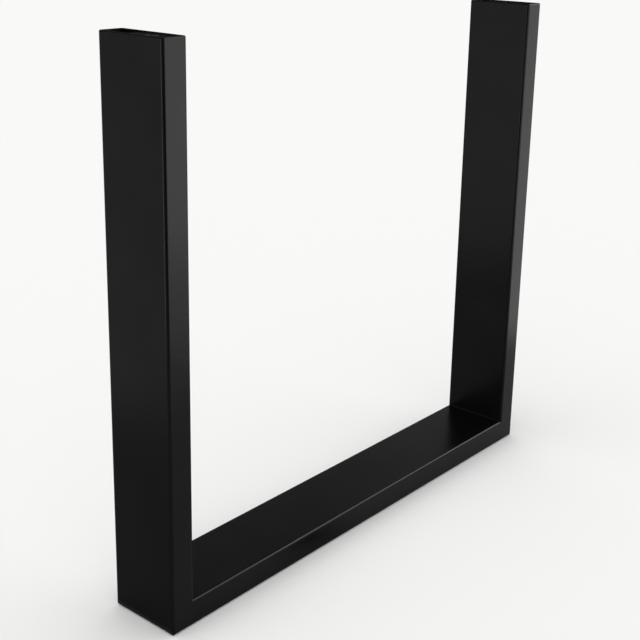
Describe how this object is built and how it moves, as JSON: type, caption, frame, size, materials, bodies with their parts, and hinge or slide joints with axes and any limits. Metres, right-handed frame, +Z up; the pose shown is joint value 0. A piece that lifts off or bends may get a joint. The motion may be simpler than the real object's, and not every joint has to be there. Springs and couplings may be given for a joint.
{
  "type": "bench leg",
  "caption": "U-shaped bench leg of flat rectangular steel tube with mitred, welded corners, a floor bar and threaded plates in the open tops of the uprights.",
  "frame": {"origin": "on the floor, under the middle of the floor bar", "axes": "+X along the floor bar, from the left upright to the right one; +Y across the tube's wide side, towards the back; +Z up to the open tops of the uprights"},
  "size_m": [0.44, 0.06, 0.41],
  "materials": {
    "coated_steel": "black powder coat, fine satin"
  },
  "bodies": {
    "root": {"floor_bar": "coated_steel", "left_upright": "coated_steel", "right_upright": "coated_steel", "left_corner_weld": "coated_steel", "right_corner_weld": "coated_steel", "left_fixing_plate": "coated_steel", "right_fixing_plate": "coated_steel", "left_plate_welds": "coated_steel", "right_plate_welds": "coated_steel"}
  },
  "joints": []
}
